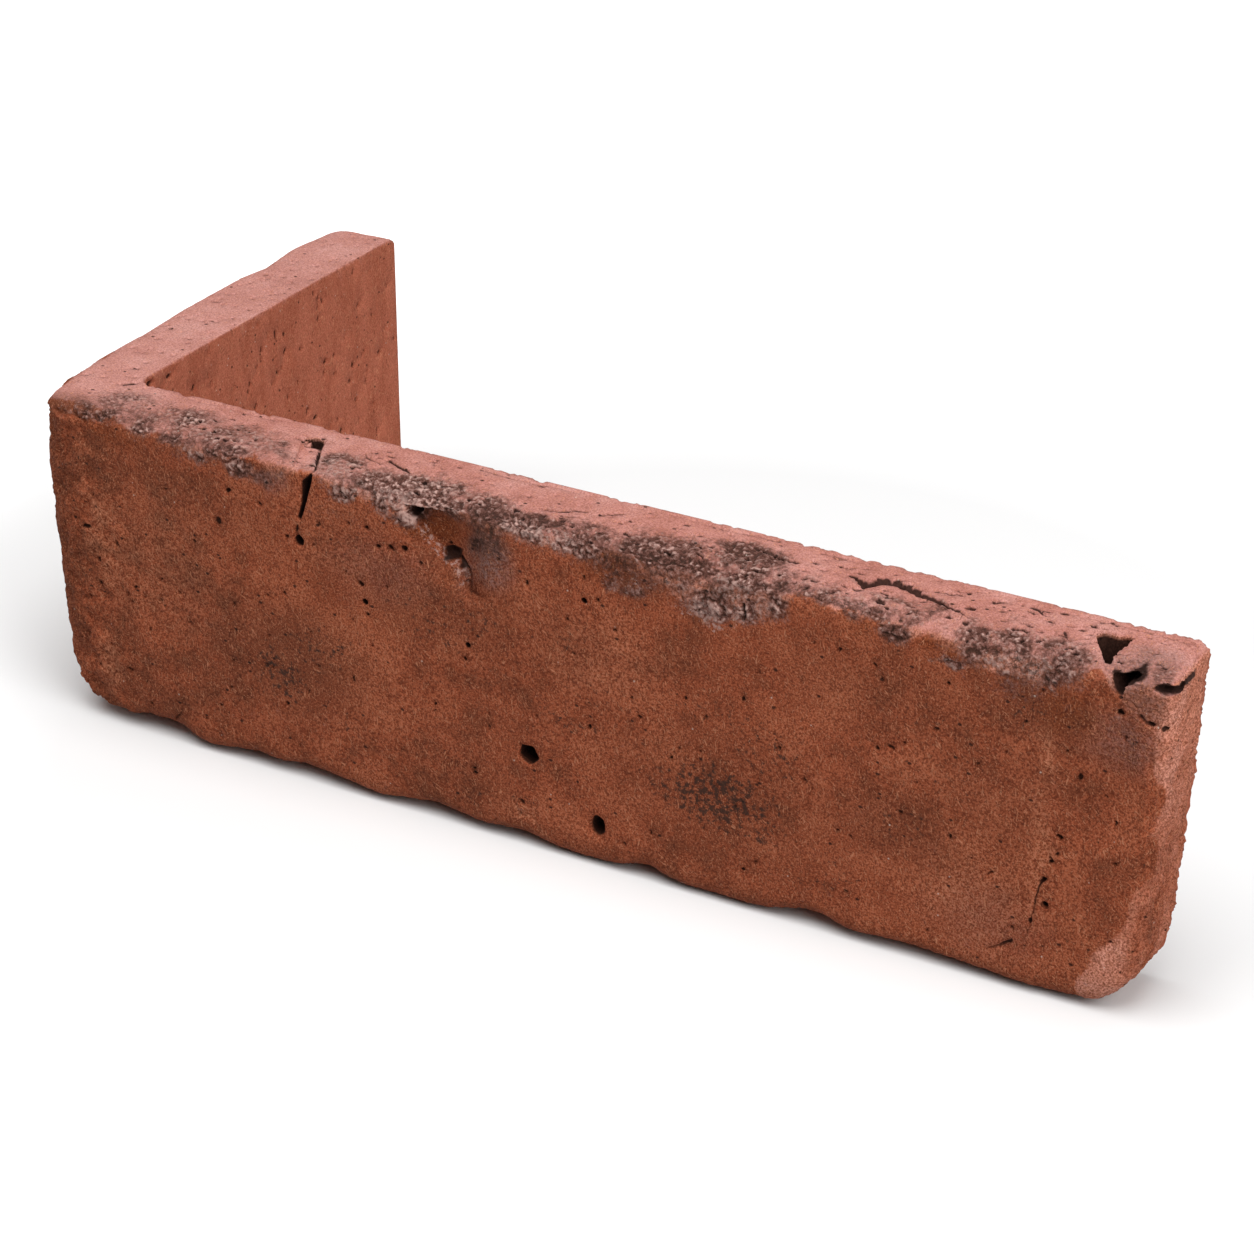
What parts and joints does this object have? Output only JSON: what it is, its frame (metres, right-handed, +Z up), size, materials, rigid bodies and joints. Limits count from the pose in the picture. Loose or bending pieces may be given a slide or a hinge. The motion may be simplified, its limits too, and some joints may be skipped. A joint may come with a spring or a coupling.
{
  "type": "corner brick slip",
  "caption": "L-shaped fired clay slip with a long stretcher face and a short header return, sawn from a worn, sanded brick to clad an outside wall corner.",
  "frame": {"origin": "centre of the outline's bounding box, on the lower bed", "axes": "+X along the stretcher face from the outer corner to its free end, +Y from the stretcher face into the wall, +Z up from the lower bed to the upper bed"},
  "size_m": [0.2298, 0.104, 0.065],
  "materials": {
    "fired_clay": "matte"
  },
  "bodies": {
    "root": {"corner_slip": "fired_clay"}
  },
  "joints": []
}
